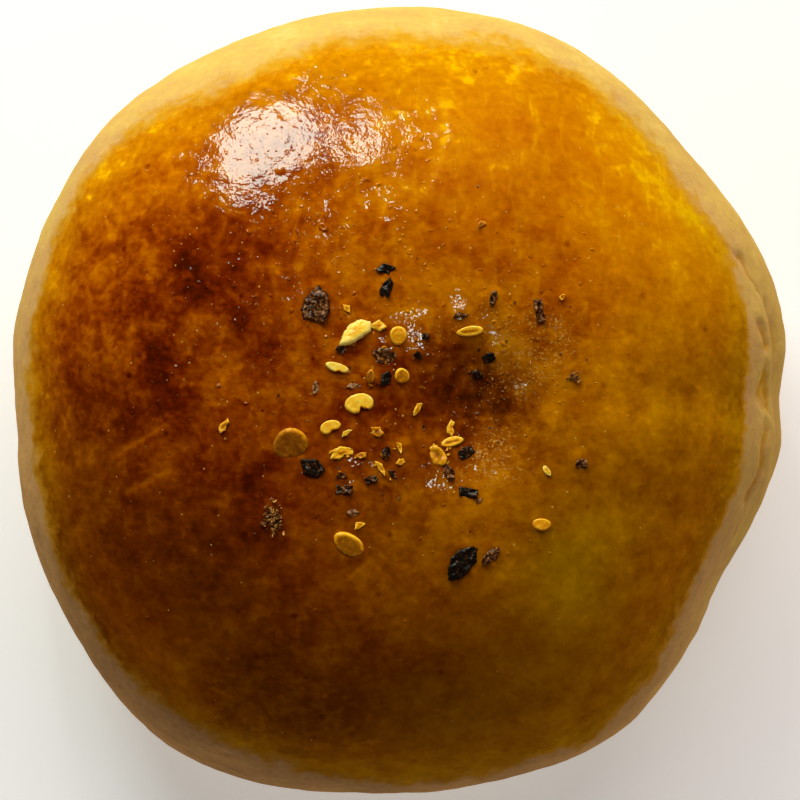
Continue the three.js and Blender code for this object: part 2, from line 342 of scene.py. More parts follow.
# The edge of the egg wash, going round from +X: angle, where it ends as a share of the outline, how soft it
# is, over how much of the outline the brown pales before it, and by how much.
WASH_EDGE = [
    (0, 0.862, 0.018, 0.1, -0.05), (10, 0.868, 0.026, 0.1, 0.02), (20, 0.884, 0.03, 0.1, 0.12),
    (32, 0.89, 0.036, 0.12, 0.1), (45, 0.908, 0.055, 0.16, 0.09), (60, 0.912, 0.05, 0.2, 0.1),
    (90, 0.884, 0.055, 0.22, 0.12), (120, 0.87, 0.055, 0.2, 0.22), (140, 0.918, 0.038, 0.15, 0.24),
    (152, 0.93, 0.03, 0.13, 0.2), (160, 0.922, 0.028, 0.12, 0.24), (180, 0.932, 0.034, 0.11, 0.22),
    (200, 0.914, 0.034, 0.08, 0.02), (210, 0.926, 0.03, 0.08, -0.12), (220, 0.918, 0.03, 0.08, -0.14),
    (240, 0.877, 0.03, 0.08, 0.12), (270, 0.948, 0.034, 0.1, 0.1), (300, 0.946, 0.034, 0.08, 0.04),
    (320, 0.904, 0.024, 0.08, 0), (340, 0.889, 0.02, 0.08, 0.02), (350, 0.864, 0.018, 0.08, 0.06),
]
# Where the wash has run down in drips, going round: angle, amount, spread.
DRIPS = [(80, 1.0, 50)]

# Noise layers: amount, wavelength, stretch along x, y and z, octaves, shift.
EDGE_RIPPLES = [(0.015, 5.0, (1, 1, 1), 3, 0), (0.012, 1.3, (1, 1, 0.3), 3, 9)]
DRIP_RIPPLES = [(0.0144, 2.8, (1, 0.3, 0.3), 3, 21), (0.024, 9.0, (1, 1, 1), 3, 31)]
SKIN_RIPPLES = [(0.14, 13.0, (1, 1, 1), 3, 0), (0.04, 3.2, (1, 1, 1), 3, 5)]
WASH_RIPPLES = [(0.016, 1.1, (1, 1, 1), 2, 17)]
SIDE_RIPPLES = [(0.16, 7.0, (1, 1, 2.6), 3, 3), (0.05, 1.6, (1, 1, 0.4), 3, 11)]
WRINKLE_WINDING = [(5.0, 6.0, (1, 1, 1), 3, 41)]  # in degrees
WRINKLE_WAVES = [(1.1, 4.0, (1, 1, 1), 3, 47)]

# How brown the bare dough is: baked near the wash and at the base, and, going round on the upper side, a
# painted shade that is darkest on the side away from the lights, towards -Y.
UPPER_BAKE = 0.13
UPPER_DOUGH = (11, 22)  # heights over which it sets in, as the next two
BASE_BAKE = 0.55
BASE_DOUGH = (0, 8)
# Painted shade on the upper side away from the lights, going round: angle, amount, spread; then the heights
# over which it sets in.
SIDE_PAINTED_SHADE = [(245, 0.40, 75), (215, 0.144, 28)]
SIDE_SHADE_HEIGHTS = (3, 22)
EDGE_BAKE = 0.16  # along the edge of the wash
EDGE_BAKE_WIDTH = 0.04
PALE_EDGES = [(80, 0.8, 45), (200, 0.8, 45)]  # where that is less, going round
# Painted shade in the wrinkles of the +X side, darker the deeper they are.
WRINKLE_PAINTED_SHADE = 0.20  # per millimetre of depth

# Browner (or, if negative, paler) places on the crown: x, y, radius, amount.
BROWN_PATCHES = [
    (-28, 4, 11, 0.26), (-22, -18, 12, 0.32), (-27, -27, 9, 0.04), (-12, -32, 11, 0.25),
    (-20, 16, 8, 0.22), (-38, -8, 10, 0.05), (-6, -11, 8, 0.15), (3, -29, 10, 0.18), (0, 0, 8, 0.19),
    (10.5, 0.8, 7, 0.34), (6, 36, 15, -0.3), (32, 22, 14, -0.3), (38, 0, 12, -0.08),
    (-30, 24, 10, -0.12), (-10, 5, 4, 0.08), (-12, -21, 6, -0.07), (25, 28, 9, -0.11),
    (-33, 12, 5, -0.1), (-35, 0, 4, 0.1), (-20, 35, 7, -0.08), (-24.5, 14.5, 2.4, 0.2),
    (-22, 13, 1.8, 0.16), (-18, 8, 2, 0.24), (-18.2, 15.2, 1.3, 0.16), (-16, -7.5, 2.5, 0.16),
    (-20, 2.4, 2.4, -0.2), (-31, 5.5, 3, -0.15), (-32, 17, 5, 0.05), (-35, -20, 6, 0.08),
    (-28, -7.5, 3, -0.14), (12.5, 6, 3.5, -0.22), (5.5, 9.5, 5, -0.25), (0, 17.5, 5, 0.05),
    (17, 1, 4, -0.1), (9, -9, 3, -0.12), (23, 0, 7, -0.16), (15, 3.5, 3, -0.08), (11.5, -7, 3.5, -0.1),
    (16.4, 6.6, 2.8, 0.2), (9.5, 25.5, 6, -0.07), (-29, 8, 4, 0.1), (10, -1, 4.4, 0.08),
    (9, -2.5, 4, 0.08), (5, 1.2, 4, 0.1), (11.4, 6.6, 1.6, -0.12), (20, -19, 8, -0.06),
    (35, -14, 8, -0.06), (-28, -2, 22, 0.045), (-37, -14, 9, 0.07), (-14.5, 29, 6.5, 0.14),
]
BROWN_BASE = 0.50
STROKE_PALING = (0.07, 0.20)  # by a brush stroke: of any crust, and more for each unit of brown
FILM_PALING = 0.10
EDGE_OCHRE = 0.7
BUBBLES_ANYWHERE = 0.06
GLINT_SLOPE = (-0.24, 0.50)  # about which the facets of the dried film are tipped
STEEPEST = 0.1  # least upward part of a normal when its slope is taken

# Places where the wash is ochre rather than red: x, y, radius, amount.
OCHRE_PATCHES = [
    (21, -19, 14, 1.1), (19, -18, 6, 0.7), (34, 0, 14, 1), (4, -37, 13, 1.1), (22, -36, 12, 0.7),
    (-22, -26, 14, 0.8), (-14, -38, 10, 0.5), (0, -14, 9, 0.5), (2, 40, 12, 0.3), (34, 20, 10, 0.6),
    (8, 5, 9, 0.35), (-38, -10, 10, 0.55), (16, 30, 12, 0.15), (14, -2, 6, 0.3),
]

# Places round the sprinkle where the wash has dried in crinkles: x, y, radius, amount.
CRINKLE_PATCHES = [
    (1.3, 9, 1.7, 0.75), (1.8, 6.2, 1.6, 0.75), (-1.7, 5.4, 2, 0.65), (13.9, 0.6, 2.2, 0.38),
    (13, 3.8, 4.4, 0.32), (10.4, -8.4, 3.2, 0.26), (4.4, -8.9, 2.4, 0.7), (8.5, -6.5, 2.4, 0.3),
    (6.2, 10.8, 2.4, 0.5), (-6, -7.5, 3, 0.5), (-1, -7, 3, 0.4), (9.5, 8, 3, 0.38),
    (2.8, 30.5, 4.2, 0.46), (-10.5, 36.6, 4, 0.44), (-2, 22.2, 3, 0.46), (-8.5, 20.6, 2.5, 0.42),
    (-15.5, 22.5, 2.8, 0.44), (-22, 27, 3.2, 0.42), (-8, 12, 9, 0.26), (-24, 8, 9, 0.26),
]

# Where the wash has dried as fine golden froth: x, y, radius, amount.
FROTH_PATCHES = [
    (13.5, 4.2, 4.5, 0.85), (16.5, 7.5, 4, 0.7), (10.5, -7, 3.6, 1), (3, 8.6, 3, 0.5),
    (4.5, -9, 2.2, 0.7), (9.8, 9.8, 3, 0.5), (14, -2, 9, 0.3), (0, 3, 14, 0.3), (-12, 22, 12, 0.4),
    (-22, 4, 14, 0.4),
]

# Where the brush has left fine pale streaks along Y: x, y, radius, amount.
BRUSHED_PATCHES = [
    (8, 32, 18, 0.6), (30, 22, 14, 0.35), (36, 2, 12, 0.35), (-12, 20, 9, 0.3), (20, 8, 10, 0.25),
]

# Where the wash holds tiny pale bubbles, whose pale dots are partly painted sparkle: x, y, radius, amount.
BUBBLE_PATCHES = [
    (-13, 24, 15, 0.4), (-3, 8, 13, 0.4), (8, 2, 12, 0.3), (-26, 4, 14, 0.3), (16, 24, 16, 0.15),
]

# Where the brown is more mottled or, if negative, more even than elsewhere: x, y, radius, amount.
LIVELY_PATCHES = [
    (-26, 6, 20, 0.3), (8, 32, 18, -0.22), (30, 24, 15, -0.42), (6, 4, 12, 0.2), (4, -34, 17, -0.45),
    (24, -24, 14, -0.25), (-28, -25, 14, -0.55), (-38, -10, 8, -0.3),
]

# Pale brush strokes and stretch marks on the crown: from x, y, to x, y, half width.
STROKES = [
    (6.3, 42, 4.6, 27, 0.55), (4.6, 27, 2.8, 23.6, 0.4), (-1.5, 22.4, -3.2, 17.4, 0.3),
    (-11.3, 22.6, -11.9, 18, 0.3), (-8.4, 23.7, -9.3, 18.2, 0.25), (-32.5, -6.4, -26.4, -2.8, 0.35),
    (-31, -10.5, -26, -8, 0.3), (-21.4, -33, -19.4, -34, 0.22), (-5.5, -19.8, -3.5, -17.8, 0.35),
]

# Blisters in the wash: x, y, radius, rise.
BLISTERS = [
    (-18, 15, 0.75, 0.08), (-18.6, 8.5, 0.55, 0.1), (11.8, 21.4, 0.5, 0.1), (-24.5, 12.5, 0.6, 0.1),
    (-13.5, 26, 0.45, 0.1),
]
PORE_COUNT = 150
PORE_DEPTH = 0.07
PORE_RADII = (0.25, 0.45)
PORE_REACH = 30  # from the middle of the pores, along x and y
PORE_MIDDLE = (-4, 6)
STROKE_DEPTH = 0.05
RIM_RISE = 0.10  # of the glaze round a topping, and its width
RIM_WIDTH = 0.45
LIFTED = (0, 3)  # heights over which the relief sets in


def patch_sum(points, patches):
    return sum(amount * bell(apart(points, x, y), radius) for x, y, radius, amount in patches)


def line_strength(points, lines):
    """How strongly each point lies on one of the lines, from 0 to 1."""
    strength = np.zeros(len(points))
    for x0, y0, x1, y1, width in lines:
        along = np.array([x1 - x0, y1 - y0])
        offset = points[:, :2] - (x0, y0)
        t = offset @ along / (along @ along)
        gap = np.hypot(*(offset - np.clip(t, 0, 1)[:, None] * along).T)
        strength = np.maximum(strength, bell(gap, width))
    return strength


def wash_cover(crust):
    """The egg wash at each point, from 0 to 1, where it ends, how near that is, and how much it pales."""
    at, *columns = np.array(WASH_EDGE + [(360, *WASH_EDGE[0][1:])]).T
    limit, soft, fade, paling = (np.interp(crust.angle % 360, at, column) for column in columns)
    drips = ripples(crust.points, DRIP_RIPPLES) * round_sum(crust.angle, DRIPS)
    ragged = ripples(crust.points, EDGE_RIPPLES) + drips
    cover = 1 - smooth(limit - soft, limit + soft, crust.plan + ragged)
    edge = smooth(limit - fade, limit, crust.plan)
    return cover, limit, edge, paling * edge


def topping_rim(points):
    """The glaze that has crept up round each topping, from 0 to 1."""
    rim = np.zeros(len(points))
    for x, y, length, width, *_ in SEEDS + CHIPS + FLAKES + CRUMBS:
        radius = (length + width) / 4
        rim = np.maximum(rim, bell(apart(points, x, y) - radius, RIM_WIDTH))
    return rim


def wrinkle_depth(crust):
    """The wrinkles of the +X side, winding and uneven."""
    angle = crust.angle + ripples(crust.points, WRINKLE_WINDING)
    height = crust.height + ripples(crust.points, WRINKLE_WAVES)
    return crease_depth(angle, height, WRINKLES)


def crust_relief(crust, wash, strokes, wrinkles):
    """How far the skin stands proud of the bare surface, in millimetres."""
    points = crust.points
    lifted = smooth(*LIFTED, crust.height)
    relief = ripples(points, SKIN_RIPPLES) * lifted
    relief += ripples(points, WASH_RIPPLES) * wash
    relief += ripples(points, SIDE_RIPPLES) * (1 - wash) * lifted
    relief += RIM_RISE * topping_rim(points) * wash - STROKE_DEPTH * strokes - wrinkles
    for x, y, radius, rise in BLISTERS:
        near = apart(points, x, y)
        relief += rise * (bell(near, radius) - 0.5 * bell(near - 1.5 * radius, 0.4 * radius)) * wash
    pores = rng.uniform(-PORE_REACH, PORE_REACH, (PORE_COUNT, 2)) + PORE_MIDDLE
    for x, y in pores:
        relief -= PORE_DEPTH * bell(apart(points, x, y), rng.uniform(*PORE_RADII)) * wash
    return relief


def dough_bake_and_shade(crust, limit, wrinkles):
    """How brown the bare dough is, from 0 to 1: its bake, plus painted shade towards -Y and in the
    wrinkles.
    """
    bake_and_shade = UPPER_BAKE * smooth(*UPPER_DOUGH, crust.height)
    bake_and_shade += BASE_BAKE * (1 - smooth(*BASE_DOUGH, crust.height))
    bake_and_shade += round_sum(crust.angle, SIDE_PAINTED_SHADE) * smooth(*SIDE_SHADE_HEIGHTS, crust.height)
    edge = bell(crust.plan - limit, EDGE_BAKE_WIDTH) * (1 - round_sum(crust.angle, PALE_EDGES))
    return bake_and_shade + EDGE_BAKE * edge + WRINKLE_PAINTED_SHADE * wrinkles


# Materials

def connect(tree, socket, value):
    """Links another node's output to a socket, or sets the socket to a value."""
    if isinstance(value, bpy.types.NodeSocket):
        tree.links.new(value, socket)
    else:
        socket.default_value = value


def plug(tree, made, **inputs):
    """Connects a node's sockets by name, with _ for a space."""
    for name, value in inputs.items():
        connect(tree, made.inputs[name.replace("_", " ")], value)


def add_node(tree, kind, settings=None, values=(), **inputs):
    """A shader node with its settings, its first inputs in order and others by name."""
    made = tree.nodes.new(kind)
    for name, value in (settings or {}).items():
        setattr(made, name, value)
    for socket, value in zip(made.inputs, values):
        connect(tree, socket, value)
    plug(tree, made, **inputs)
    return made


def calculate(tree, operation, *values, clamp=False):
    """A Math node's result for numbers or outputs."""
    settings = {"operation": operation, "use_clamp": clamp}
    return add_node(tree, "ShaderNodeMath", settings, values).outputs[0]


def weighted(tree, *terms, start=0.0, clamp=False):
    """Start plus the terms, each an amount times a value; clamp keeps the result from 0 to 1."""
    *others, last = terms
    for amount, value in others:
        start = calculate(tree, "MULTIPLY_ADD", value, amount, start)
    return calculate(tree, "MULTIPLY_ADD", last[1], last[0], start, clamp=clamp)


def beyond(tree, value, limit, steepness):
    """How far a value is past a limit, made steeper and kept from 0 to 1."""
    return calculate(tree, "MULTIPLY", calculate(tree, "SUBTRACT", value, limit), steepness, clamp=True)


def vector_result(tree, operation, *values):
    """A Vector Math node's result for vectors or outputs."""
    made = add_node(tree, "ShaderNodeVectorMath", {"operation": operation}, values)
    return made.outputs["Value" if operation in ("DOT_PRODUCT", "LENGTH") else "Vector"]


def mix_colour(tree, factor, first, second, blend="MIX"):
    made = add_node(tree, "ShaderNodeMix", {"data_type": "RGBA", "blend_type": blend})
    for index, value in ((0, factor), (6, first), (7, second)):
        connect(tree, made.inputs[index], value)
    return made.outputs[2]


def attribute(tree, name):
    return add_node(tree, "ShaderNodeAttribute", {"attribute_name": name}).outputs["Fac"]


def object_place(tree):
    return add_node(tree, "ShaderNodeTexCoord").outputs["Object"]


def speckle(tree, size, detail=3.0, distortion=0.0, stretch=(1, 1, 1)):
    """Noise of a grain size in millimetres, from 0 to 1."""
    mapped = add_node(tree, "ShaderNodeMapping", Vector=object_place(tree), Scale=stretch).outputs["Vector"]
    texture = add_node(tree, "ShaderNodeTexNoise", Vector=mapped, Scale=1 / (size * MM))
    plug(tree, texture, Detail=detail, Distortion=distortion)
    return texture.outputs["Fac"]


def centred(tree, size, **settings):
    """The same noise, from -0.5 to 0.5."""
    return calculate(tree, "SUBTRACT", speckle(tree, size, **settings), 0.5)


def cells(tree, size):
    """The outputs of a pattern of cells of a size in millimetres."""
    return add_node(tree, "ShaderNodeTexVoronoi", Vector=object_place(tree), Scale=1 / (size * MM)).outputs


def ramp(tree, factor, stops):
    """A colour ramp through (place, colour) stops."""
    made = add_node(tree, "ShaderNodeValToRGB", Fac=factor)
    elements = made.color_ramp.elements
    while len(elements) < len(stops):
        elements.new(1.0)
    for element, (place, colour) in zip(elements, stops):
        element.position = place
        element.color = (*colour, 1.0)
    return made.outputs["Color"]


def new_material(name):
    material = bpy.data.materials.new(name)
    material.use_nodes = True
    tree = material.node_tree
    return material, tree, tree.nodes["Principled BSDF"]


def bump(tree, height, depth, **normal):
    """A bump of a depth in millimetres, on top of another if Normal is given."""
    made = add_node(tree, "ShaderNodeBump", Strength=1.0, Distance=depth * MM, Height=height, **normal)
    return made.outputs["Normal"]


# Colours of the crust by how brown it is, where it is red, ochre or olive, and of the bare dough.
RED_CRUST = [
    (0.0, (0.86, 0.38, 0.0)), (0.1, (0.68, 0.23, 0.0)), (0.2, (0.60, 0.172, 0.0)),
    (0.4, (0.44, 0.098, 0.0)), (0.6, (0.27, 0.040, 0.0)), (0.8, (0.145, 0.0125, 0.0)),
    (1.0, (0.06, 0.005, 0.0)),
]
OCHRE_CRUST = [
    (0.0, (0.82, 0.43, 0.0)), (0.1, (0.66, 0.275, 0.0)), (0.2, (0.58, 0.215, 0.0)),
    (0.4, (0.42, 0.145, 0.0)), (0.6, (0.28, 0.082, 0.0)), (0.8, (0.16, 0.036, 0.0)),
    (1.0, (0.06, 0.011, 0.0)),
]
DOUGH = [
    (0.0, (0.70, 0.49, 0.150)), (0.12, (0.64, 0.41, 0.095)), (0.35, (0.55, 0.305, 0.106)),
    (0.7, (0.33, 0.178, 0.072)), (1.0, (0.14, 0.052, 0.010)),
]
OLIVE_CRUST = [
    (0.0, (0.66, 0.40, 0.0)), (0.2, (0.54, 0.28, 0.0)), (0.4, (0.40, 0.19, 0.0)),
    (0.6, (0.27, 0.12, 0.0)), (0.8, (0.15, 0.058, 0.0)), (1.0, (0.06, 0.018, 0.0)),
]
BUBBLE_AND_SPARKLE_COLOUR = (0.85, 0.50, 0.10, 1.0)
FROTH_COLOUR = (0.68, 0.36, 0.050, 1.0)
THIN_WASH = (1.0, 0.80, 0.14, 1.0)  # tints the dough where the wash thins out

# What each layer of noise adds to the brown.
MOTTLE = 0.58
CLOUDS = 0.46
FLECKS = 0.38
FIBRES = 0.18
PALE_DABS = -0.12
DARK_DOTS = 0.16
PALE_STREAKS = -0.24
OCHRE_MOTTLE = -0.9  # what the mottling and the streaks add to the ochre
OCHRE_STREAKS = 0.9
BAKE_MOTTLE = 0.40  # what the layers add to the dough's bake
BAKE_FLECKS = 0.30
BAKE_FRECKLES = 0.10
BUBBLE_AND_SPARKLE_COVER = 0.6
FROTH_COVER = 0.50
DOT_RADII = (0.05, 0.17)  # of a cell
FACET_SIZE = 0.25  # of the film, in millimetres
FACET_SPREAD = 0.34  # of the facets' slopes
# Depths of the bumps in millimetres.
PEBBLE_DEPTH = 0.040
WET_PEBBLE_DEPTH = 0.045
CRUMB_DEPTH = 0.04
DOT_DEPTH = 0.07


def bubble_dots(tree, size, amount):
    """Small round dots, one to a cell of a size in millimetres; amount is the share of cells with one."""
    cell = cells(tree, size)
    chance = add_node(tree, "ShaderNodeSeparateColor", Color=cell["Color"]).outputs
    smallest, largest = DOT_RADII
    radius = weighted(tree, (largest - smallest, chance["Green"]), start=smallest)
    dot = beyond(tree, radius, cell["Distance"], 16.0)
    return calculate(tree, "MULTIPLY", dot, calculate(tree, "LESS_THAN", chance["Red"], amount))


def froth_flecks(tree):
    """Clumps of small irregular flecks, thicker where the froth is."""
    clumps = weighted(tree, (1.4, speckle(tree, 1.4, detail=2)), start=0.2)
    thick = calculate(tree, "MULTIPLY", attribute(tree, "froth"), clumps)
    limit = weighted(tree, (-0.25, thick), start=0.79)
    return beyond(tree, speckle(tree, 0.32, detail=2, distortion=0.8), limit, 14.0)


def crinkled_places(tree):
    """Where the film is, 0 or 1 with torn edges."""
    film = weighted(tree, (1.6, speckle(tree, 1.1)), start=attribute(tree, "crinkled"))
    return beyond(tree, film, 1.25, 5.0)


def film_facets(tree, size, spread):
    """The height, in metres, of a crumpled film of flat facets, each tipped its own way about the lean."""
    cell = cells(tree, size)
    out = vector_result(tree, "SUBTRACT", object_place(tree), cell["Position"])
    least = add_node(
        tree, "ShaderNodeCombineXYZ",
        X=calculate(tree, "SUBTRACT", attribute(tree, "lean_x"), spread),
        Y=calculate(tree, "SUBTRACT", attribute(tree, "lean_y"), spread),
    ).outputs["Vector"]
    tip = vector_result(tree, "MULTIPLY_ADD", cell["Color"], (2 * spread, 2 * spread, 0), least)
    return vector_result(tree, "DOT_PRODUCT", out, tip)


def dabs(tree, size):
    """Soft islands of about a size in millimetres, 1 in their middles."""
    return beyond(tree, speckle(tree, size, detail=1, distortion=0.4), 0.56, 6.0)


def crust_material():
    material, tree, shader = new_material("crust")
    torn_edge = speckle(tree, 0.9, detail=4)
    wash = weighted(tree, (1.4, attribute(tree, "wash")), (0.84, torn_edge), start=-0.62, clamp=True)
    mottle = centred(tree, 5.5, distortion=0.3)
    clouds = centred(tree, 2.3, detail=2, distortion=0.3)
    flecks = centred(tree, 0.8, detail=4)
    fibres = centred(tree, 1.6, distortion=1.0, stretch=(0.5, 1.3, 1))
    streaks = speckle(tree, 1.7, detail=4, distortion=1.2, stretch=(1, 0.25, 0.5))
    streaks = calculate(tree, "MULTIPLY", beyond(tree, streaks, 0.55, 4.0), attribute(tree, "brushed"))
    uneven = weighted(tree, (MOTTLE, mottle), (CLOUDS, clouds))
    fine = weighted(tree, (FLECKS, flecks), (FIBRES, fibres), start=uneven)
    dots = bubble_dots(tree, 3.0, 0.8)
    fine = weighted(tree, (PALE_DABS, dabs(tree, 1.5)), (DARK_DOTS, dots), start=fine)
    brown = weighted(tree, (attribute(tree, "lively"), fine), start=attribute(tree, "brown"))
    brown = weighted(tree, (PALE_STREAKS, streaks), start=brown, clamp=True)
    ochre = weighted(tree, (OCHRE_MOTTLE, uneven), (OCHRE_STREAKS, streaks), start=attribute(tree, "ochre"))
    to_ochre = calculate(tree, "ADD", ochre, 0.0, clamp=True)
    to_olive = calculate(tree, "SUBTRACT", ochre, 1.0, clamp=True)
    washed = mix_colour(tree, to_ochre, ramp(tree, brown, RED_CRUST), ramp(tree, brown, OCHRE_CRUST))
    washed = mix_colour(tree, to_olive, washed, ramp(tree, brown, OLIVE_CRUST))
    bubbles = bubble_dots(tree, 0.85, attribute(tree, "bubbles"))
    pits = bubble_dots(tree, 1.7, attribute(tree, "bubbles"))
    froth = froth_flecks(tree)
    # Pale dots: tiny bubbles in the wash and, partly, painted sparkle.
    washed = mix_colour(tree, weighted(tree, (BUBBLE_AND_SPARKLE_COVER, bubbles)), washed, BUBBLE_AND_SPARKLE_COLOUR)
    washed = mix_colour(tree, weighted(tree, (FROTH_COVER, froth)), washed, FROTH_COLOUR)
    freckles = bubble_dots(tree, 2.4, 0.35)
    # The bare dough's colour comes from its bake and from the painted shade on its -Y side and in its
    # wrinkles.
    bake_and_shade = weighted(tree, (BAKE_MOTTLE, mottle), (BAKE_FRECKLES, freckles), start=attribute(tree, "bake_and_shade"))
    dough = ramp(tree, weighted(tree, (BAKE_FLECKS, flecks), start=bake_and_shade, clamp=True), DOUGH)
    tinted = mix_colour(tree, 1.0, dough, THIN_WASH, blend="MULTIPLY")
    thin = mix_colour(tree, weighted(tree, (2.0, wash), clamp=True), dough, tinted)
    colour = mix_colour(tree, weighted(tree, (2.0, wash), start=-1.0, clamp=True), thin, washed)
    pebbles = speckle(tree, 0.6, detail=2)
    crumb = weighted(tree, (-0.5, freckles), start=speckle(tree, 0.35, detail=2))
    raised = calculate(tree, "SUBTRACT", calculate(tree, "MAXIMUM", bubbles, froth), pits)
    crinkles = add_node(
        tree, "ShaderNodeBump",
        Strength=crinkled_places(tree),
        Distance=1.0,
        Height=film_facets(tree, FACET_SIZE, FACET_SPREAD),
    ).outputs["Normal"]
    bubbly = bump(tree, raised, DOT_DEPTH, Normal=crinkles)
    plug(
        tree, shader,
        Base_Color=colour,
        Roughness=weighted(tree, (-0.16, wash), start=0.62),
        Specular_IOR_Level=0.0,
        Coat_Weight=wash,
        Coat_Roughness=0.05,
        Coat_IOR=1.45,
        Normal=bump(tree, crumb, CRUMB_DEPTH, Normal=bump(tree, pebbles, PEBBLE_DEPTH)),
        Coat_Normal=bump(tree, pebbles, WET_PEBBLE_DEPTH, Normal=bubbly),
    )
    return material


def grainy_material(name, shades, size, detail, uneven, relief):
    """A material that is uneven in tint and relief, in grains of a size in millimetres; and the grain."""
    material, tree, shader = new_material(name)
    grain = speckle(tree, size, detail)
    least = calculate(tree, "ADD", attribute(tree, "tint"), -uneven / 2)
    tint = weighted(tree, (uneven, grain), start=least)
    plug(tree, shader, Base_Color=ramp(tree, tint, shades), Normal=bump(tree, grain, relief))
    return material, tree, shader, grain


SEED_TINTS = [
    (0.0, (0.22, 0.055, 0.001)), (0.25, (0.42, 0.14, 0.002)), (0.5, (0.80, 0.32, 0.004)),
    (0.75, (1.0, 0.53, 0.028)), (0.9, (1.0, 0.65, 0.050)), (1.0, (1.0, 0.75, 0.17)),
]


def seed_material():
    material, tree, shader, grain = grainy_material(
        "chilli_seed", SEED_TINTS, size=0.35, detail=3, uneven=0.60, relief=0.04
    )
    plug(
        tree, shader,
        Roughness=weighted(tree, (0.3, grain), start=0.30),
        Specular_IOR_Level=0.25,
        Subsurface_Weight=0.2,
        Subsurface_Radius=(1.0, 0.6, 0.2),
        Subsurface_Scale=0.5 * MM,
        Coat_Weight=0.25,
        Coat_Roughness=0.15,
    )
    return material


FLAKE_SHADES = [
    (0.0, (0.006, 0.005, 0.004)), (0.3, (0.020, 0.009, 0.005)), (0.6, (0.095, 0.026, 0.004)),
    (0.8, (0.20, 0.070, 0.018)), (1.0, (0.38, 0.19, 0.085)),
]


def flake_material():
    material, tree, shader, grain = grainy_material(
        "chilli_flake", FLAKE_SHADES, size=0.32, detail=4, uneven=2.8, relief=0.06
    )
    plug(
        tree, shader,
        Roughness=weighted(tree, (0.5, grain), start=0.20),
        Specular_IOR_Level=0.08,
        Coat_Weight=0.6,
        Coat_Roughness=0.09,
        Coat_Normal=bump(tree, grain, 0.14),
    )
    return material


CRUMB_SHADES = [
    (0.0, (0.040, 0.018, 0.003)), (0.35, (0.16, 0.052, 0.005)), (0.7, (0.45, 0.18, 0.026)),
    (1.0, (0.74, 0.40, 0.095)),
]


def crumb_material():
    material, tree, shader, _ = grainy_material(
        "herb_crumb", CRUMB_SHADES, size=0.25, detail=3, uneven=1.0, relief=0.04
    )
    plug(tree, shader, Roughness=0.6)
    return material


# Pieces

def make_piece(name, points, triangles, material, attributes):
    """A smooth mesh piece that rides on the bun's body and stands for its node."""
    mesh = bpy.data.meshes.new(name)
    mesh.from_pydata((points * MM).tolist(), [], triangles.tolist())
    mesh.update()
    mesh.polygons.foreach_set("use_smooth", [True] * len(mesh.polygons))
    for label, values in attributes.items():
        layer = mesh.attributes.new(label, "FLOAT", "POINT")
        layer.data.foreach_set("value", np.asarray(values, np.float32))
    mesh.materials.append(material)
    piece = bpy.data.objects.new(name, mesh)
    bpy.context.scene.collection.objects.link(piece)
    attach(piece, BODY)
    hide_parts(NODE)
    return piece


def vertex_normals(points, triangles):
    faces = points[triangles]
    normals = np.cross(faces[:, 1] - faces[:, 0], faces[:, 2] - faces[:, 0])
    summed = np.zeros_like(points)
    for corner in range(3):
        np.add.at(summed, triangles[:, corner], normals)
    return summed / np.linalg.norm(summed, axis=1, keepdims=True)


class Surface:
    """The finished skin: finds where something dropped from above lands, and the skin's fields there."""

    def __init__(self, points, triangles, fields):
        self.tree = BVHTree.FromPolygons(points.tolist(), triangles.tolist())
        self.triangles, self.fields = triangles, fields

    def drop(self, x, y):
        hit, normal, index, _ = self.tree.ray_cast(Vector((x, y, 2 * CROWN_HEIGHT)), Vector((0, 0, -1)))
        return hit, normal, {name: values[self.triangles[index][0]] for name, values in self.fields.items()}


def make_crust(material):
    crust = Crust()
    wash, limit, edge, paling = wash_cover(crust)
    wrinkles = wrinkle_depth(crust)
    wash = np.maximum(wash, WRINKLE_WASH * smooth(0.0, FULL_WRINKLE, wrinkles))
    strokes = line_strength(crust.points, STROKES) * wash
    normals = vertex_normals(crust.points, crust.triangles)
    skin = crust.points + normals * crust_relief(crust, wash, strokes, wrinkles)[:, None]
    skin[:, 2] = np.maximum(skin[:, 2], 0)
    brown = BROWN_BASE + patch_sum(crust.points, BROWN_PATCHES) - paling
    brown -= (STROKE_PALING[0] + STROKE_PALING[1] * brown) * strokes
    slope = normals[:, :2] / np.maximum(normals[:, 2:], STEEPEST)
    crinkled = np.clip(patch_sum(crust.points, CRINKLE_PATCHES), 0, 1) * wash
    fields = {
        "wash": wash,
        "brown": brown - FILM_PALING * crinkled,
        "ochre": patch_sum(crust.points, OCHRE_PATCHES) + EDGE_OCHRE * edge,
        "lively": 1 + patch_sum(crust.points, LIVELY_PATCHES),
        "bake_and_shade": dough_bake_and_shade(crust, limit, wrinkles),
        "crinkled": crinkled,
        "lean_x": slope[:, 0] - GLINT_SLOPE[0],
        "lean_y": slope[:, 1] - GLINT_SLOPE[1],
        "froth": np.clip(patch_sum(crust.points, FROTH_PATCHES), 0, 1),
        "brushed": patch_sum(crust.points, BRUSHED_PATCHES),
        "bubbles": BUBBLES_ANYWHERE + patch_sum(crust.points, BUBBLE_PATCHES),
    }
    make_piece("bun_crust", skin, crust.triangles, material, fields)
    return Surface(skin, crust.triangles, fields)


def place_on(surface, x, y, turn, rise, lean):
    """The matrix that lays a flat thing on the crust, lifted by rise; lean lifts its sides to +Y and -X."""
    hit, normal, _ = surface.drop(x, y)
    east = Vector((1, 0, 0))
    across = (east - normal * normal.x).normalized()
    flat = Matrix((across, normal.cross(across), normal)).transposed().to_4x4()
    tipped = Matrix.Rotation(math.radians(lean[0]), 4, "X") @ Matrix.Rotation(math.radians(lean[1]), 4, "Y")
    spin = Matrix.Rotation(math.radians(turn), 4, "Z")
    return np.array(Matrix.Translation(hit + normal * rise) @ flat @ tipped @ spin)


